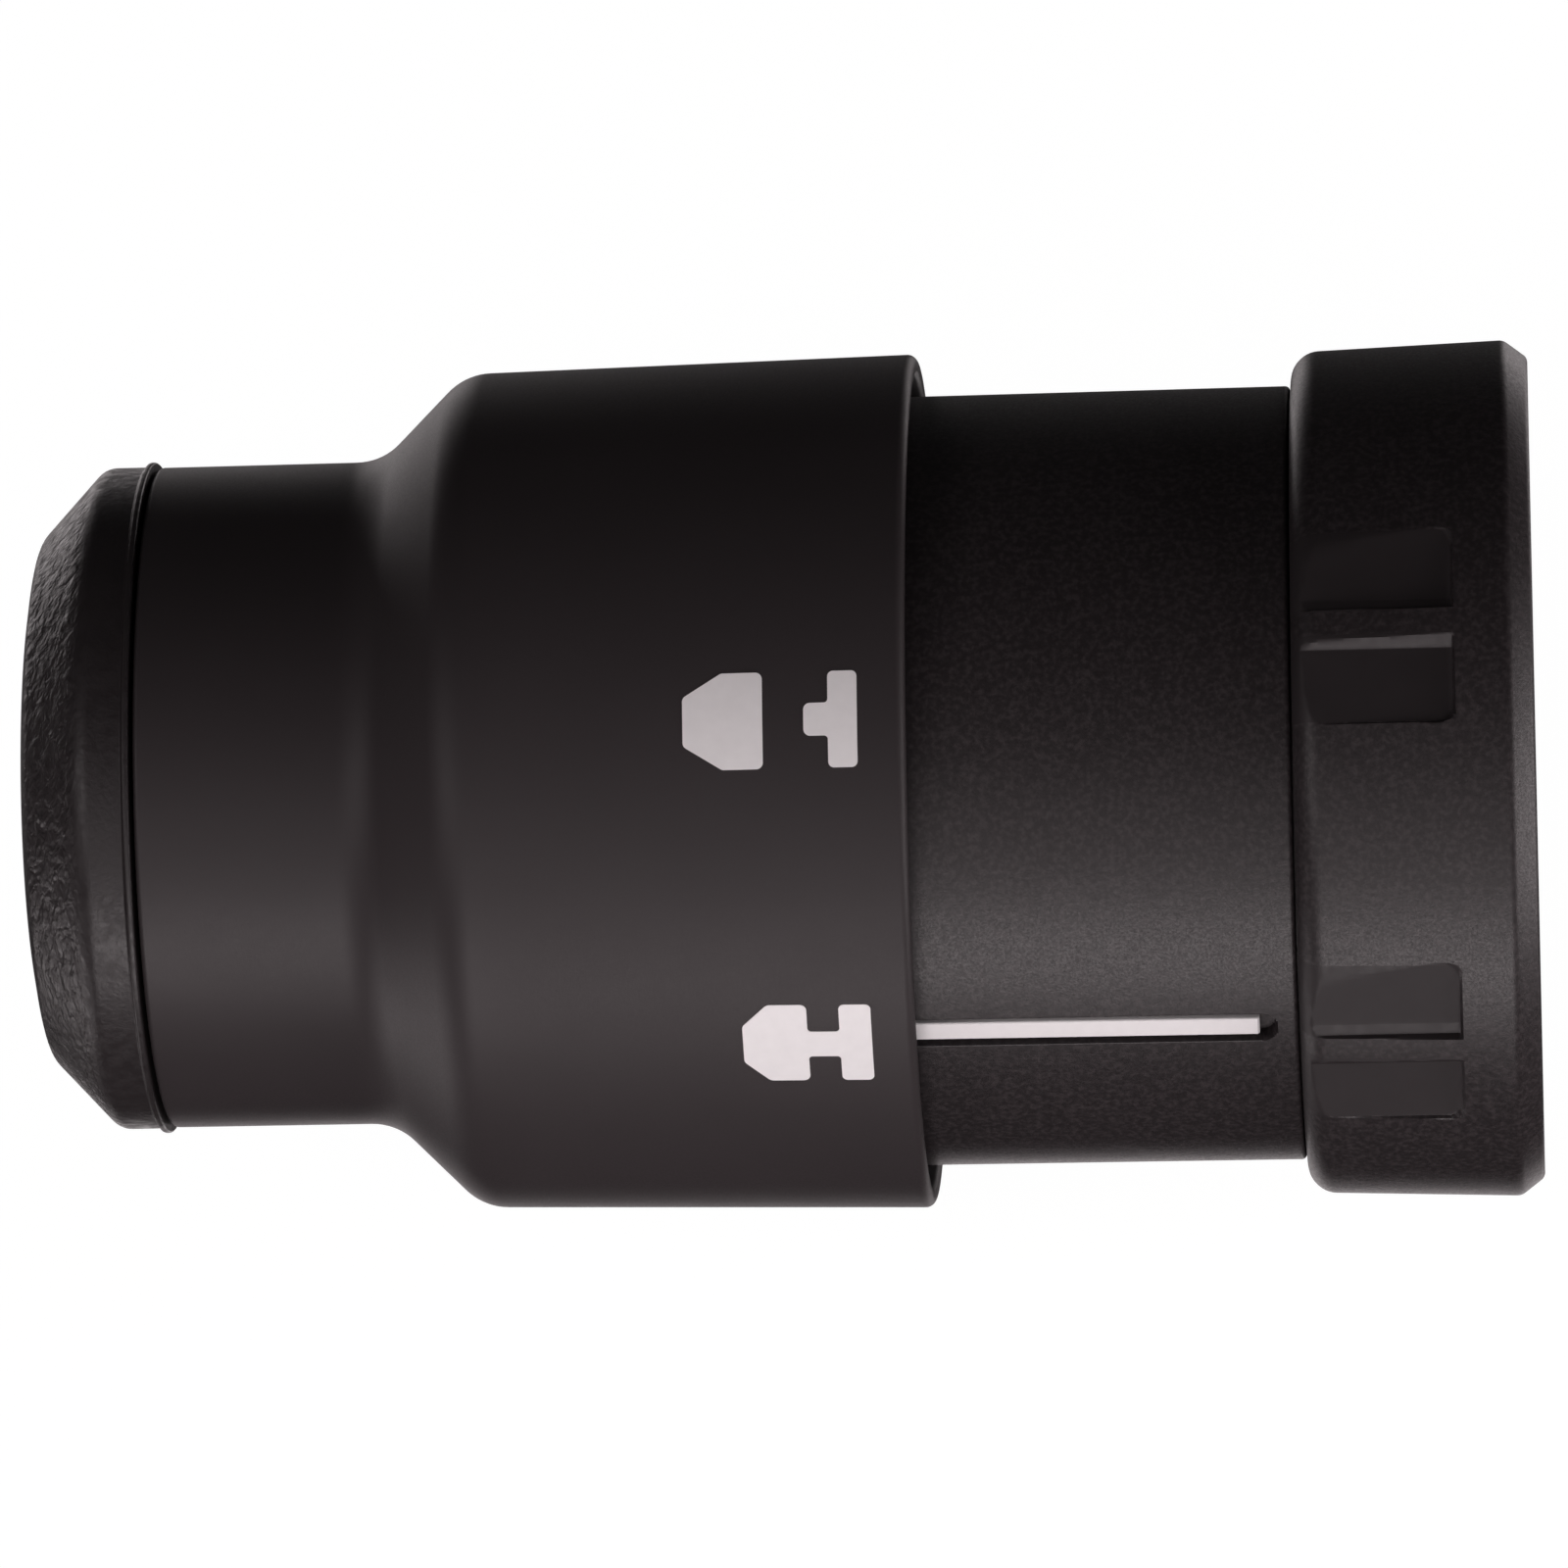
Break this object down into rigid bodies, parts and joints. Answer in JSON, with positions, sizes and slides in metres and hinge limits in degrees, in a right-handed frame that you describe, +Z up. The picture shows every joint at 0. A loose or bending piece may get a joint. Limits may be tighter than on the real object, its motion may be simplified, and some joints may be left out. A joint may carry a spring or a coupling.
{
  "type": "rotary hammer quick-change chuck",
  "caption": "Quick-change chuck for a rotary hammer: a sliding cover frees the bit, and a turning collar frees the chuck from the spindle.",
  "frame": {"origin": "centre of the collar's flat rear face, on the spindle axis, where the chuck meets the machine", "axes": "+X along the spindle axis towards the machine, so the nose that takes the bit points along -X; +Z up, with the index line facing -Y"},
  "size_m": [0.0787, 0.045, 0.045],
  "materials": {
    "rubber": "matt black moulded rubber with a leathery grain",
    "satin_plastic": "satin black glass-filled nylon",
    "grained_plastic": "black nylon with a fine spark-eroded grain",
    "white_plastic": "white moulded strip",
    "steel": "hardened steel, turned and lightly oiled",
    "ball_steel": "polished ball steel",
    "spring_steel": "drawn spring wire"
  },
  "bodies": {
    "holder": {"tool_holder": "steel", "dust_cap": "rubber", "ring_spring": "spring_steel", "conical_spring": "spring_steel", "spring_seat_washer": "steel", "stop_pin": "steel", "thrust_washer": "steel", "snap_ring": "spring_steel", "socket_o_ring": "rubber"},
    "cover": {"chuck_cover": "satin_plastic", "locking_ring": "steel", "guide_washer": "steel"},
    "collar": {"change_ring": "grained_plastic", "index_sleeve": "grained_plastic", "index_line": "white_plastic", "cam_ring": "steel", "click_spring": "spring_steel"},
    "upper_bit_ball": {"bit_ball_upper": "ball_steel"},
    "lower_bit_ball": {"bit_ball_lower": "ball_steel"},
    "spindle_ball_1": {"lock_ball_1": "ball_steel"},
    "spindle_ball_2": {"lock_ball_2": "ball_steel"},
    "spindle_ball_3": {"lock_ball_3": "ball_steel"}
  },
  "joints": [
    {"name": "cover_pull", "type": "slide", "parent": "holder", "child": "cover", "axis": [1, 0, 0], "range_m": [0, 0.0065], "stiffness_N_per_m": 2500, "springref_m": -0.008, "deforming": ["conical_spring"]},
    {"name": "upper_bit_ball_out", "type": "slide", "parent": "holder", "child": "upper_bit_ball", "axis": [0, 0, 1], "range_m": [0, 0.00175]},
    {"name": "lower_bit_ball_out", "type": "slide", "parent": "holder", "child": "lower_bit_ball", "axis": [0, 0, -1], "range_m": [0, 0.00175]},
    {"name": "collar_turn", "type": "hinge", "parent": "holder", "child": "collar", "pos_m": [0, 0, 0], "axis": [-1, 0, 0], "range_deg": [0, 45]},
    {"name": "spindle_ball_1_out", "type": "slide", "parent": "holder", "child": "spindle_ball_1", "axis": [0, -0.866, 0.5], "range_m": [0, 0.0014]},
    {"name": "spindle_ball_2_out", "type": "slide", "parent": "holder", "child": "spindle_ball_2", "axis": [0, 0.866, 0.5], "range_m": [0, 0.0014]},
    {"name": "spindle_ball_3_out", "type": "slide", "parent": "holder", "child": "spindle_ball_3", "axis": [0, 0, -1], "range_m": [0, 0.0014]}
  ],
  "couplings": [
    {"joint": "upper_bit_ball_out", "follows": "cover_pull", "ratio": 0.2692},
    {"joint": "lower_bit_ball_out", "follows": "cover_pull", "ratio": 0.2692},
    {"joint": "spindle_ball_1_out", "follows": "collar_turn", "m_per_rad": 0.0017825},
    {"joint": "spindle_ball_2_out", "follows": "collar_turn", "m_per_rad": 0.0017825},
    {"joint": "spindle_ball_3_out", "follows": "collar_turn", "m_per_rad": 0.0017825}
  ]
}
